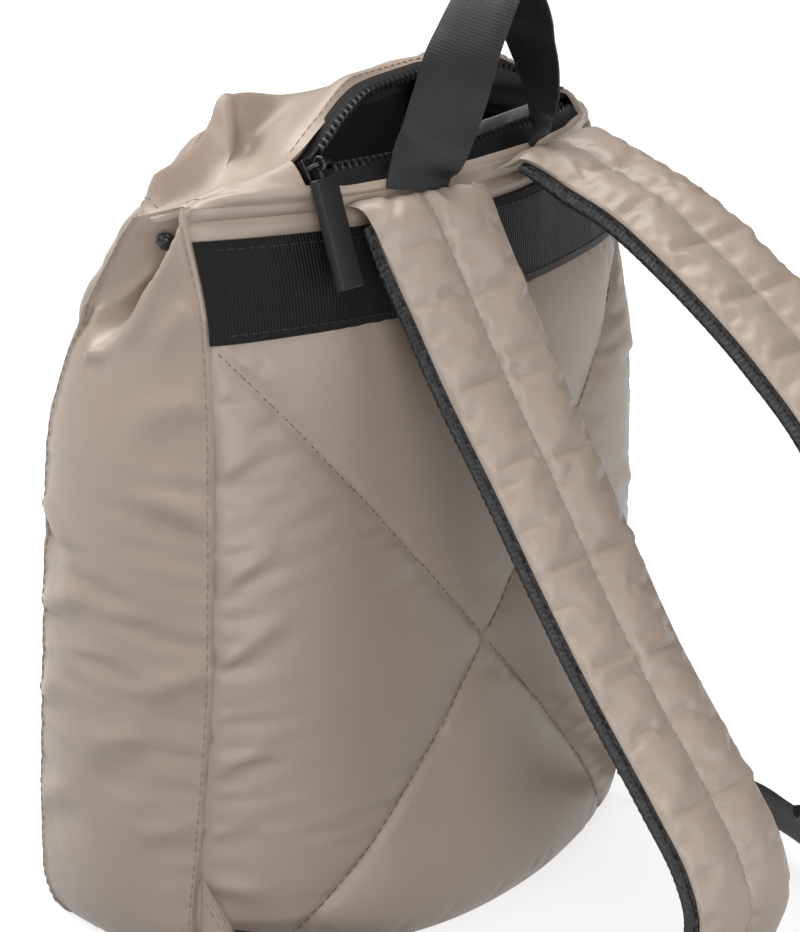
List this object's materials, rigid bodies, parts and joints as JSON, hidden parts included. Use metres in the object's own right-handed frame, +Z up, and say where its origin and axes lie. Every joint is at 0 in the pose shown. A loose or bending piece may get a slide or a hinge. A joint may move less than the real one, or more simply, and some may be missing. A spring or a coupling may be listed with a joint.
{
  "type": "mini backpack",
  "caption": "Small cloth backpack with a quilted padded back, padded shoulder straps, a webbing top handle and a wide zip mouth under folded-in sides.",
  "frame": {"origin": "middle of the base on the floor", "axes": "+Z up, -Y out of the back with the shoulder straps, +X to the right when looking at the back"},
  "size_m": [0.2485, 0.3018, 0.3482],
  "materials": {
    "shell_cloth": "satin",
    "strap_cloth": "satin",
    "webbing": "matte",
    "spacer_mesh": "matte",
    "lining_cloth": "matte",
    "zip_teeth": "satin",
    "dark_metal": "satin",
    "rubber": "matte",
    "plastic": "matte"
  },
  "bodies": {
    "bag": {"back_panel": "shell_cloth", "front_panel": "shell_cloth", "side_panel_left": "shell_cloth", "side_panel_right": "shell_cloth", "top_panel": "shell_cloth", "base_panel": "shell_cloth", "lining": "lining_cloth", "back_band": "webbing", "zip_rear": "zip_teeth", "zip_front": "zip_teeth", "zip_slider": "dark_metal", "handle": "webbing", "strap_pad_left": "strap_cloth", "strap_mesh_left": "spacer_mesh", "strap_webbing_left": "webbing", "strap_adjuster_left": "plastic", "corner_tab_left": "shell_cloth", "side_snap_left": "dark_metal", "strap_pad_right": "strap_cloth", "strap_mesh_right": "spacer_mesh", "strap_webbing_right": "webbing", "strap_adjuster_right": "plastic", "corner_tab_right": "shell_cloth", "side_snap_right": "dark_metal"},
    "puller": {"zip_puller": "rubber"}
  },
  "joints": [
    {"name": "puller_swing", "type": "hinge", "parent": "bag", "child": "puller", "pos_m": [-0.071, -0.05389, 0.29058], "axis": [-1, 0, 0], "range_deg": [0, 215]}
  ]
}
